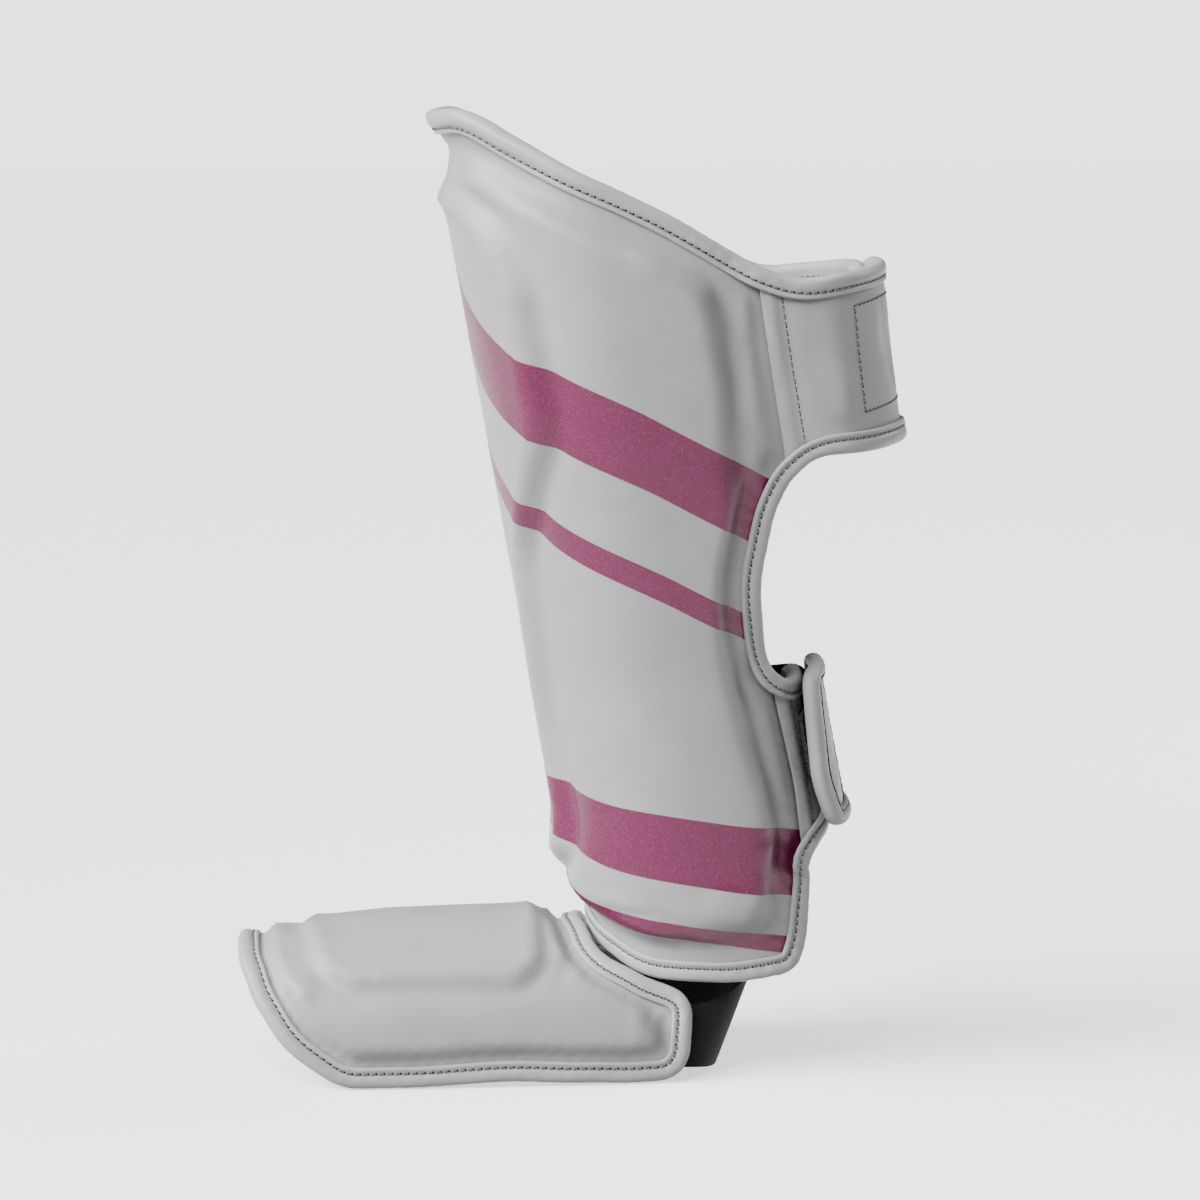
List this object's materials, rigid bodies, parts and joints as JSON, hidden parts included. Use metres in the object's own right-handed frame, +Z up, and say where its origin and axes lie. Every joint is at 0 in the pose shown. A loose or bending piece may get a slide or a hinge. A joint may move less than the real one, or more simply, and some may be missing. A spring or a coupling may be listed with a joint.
{
  "type": "muay thai shin guard",
  "caption": "Padded leather shin guard with hook-and-loop calf and ankle straps, a hinged padded instep guard and a heel elastic.",
  "frame": {"origin": "middle of the base of the bounding box, on the surface that the instep guard stands on", "axes": "+Z up along the shin, -Y towards the toes, +X towards the side whose straps lie outermost"},
  "size_m": [0.1434, 0.2776, 0.3967],
  "materials": {
    "white_leather": "satin",
    "binding_leather": "satin",
    "black_elastic": "matte",
    "hook_and_loop": "matte"
  },
  "bodies": {
    "root": {"shin_shell": "white_leather", "calf_flap_near": "white_leather", "calf_flap_far": "white_leather", "calf_hook_patch": "hook_and_loop", "calf_loop_patch": "hook_and_loop", "ankle_flap": "white_leather", "ankle_loop_patch": "hook_and_loop", "ankle_elastic": "black_elastic", "ankle_tab": "white_leather", "ankle_tab_binding": "binding_leather", "ankle_hook_patch": "hook_and_loop", "edge_binding": "binding_leather", "instep_guard": "white_leather", "instep_binding": "binding_leather", "instep_hinge": "white_leather", "heel_elastic": "black_elastic"}
  },
  "joints": []
}
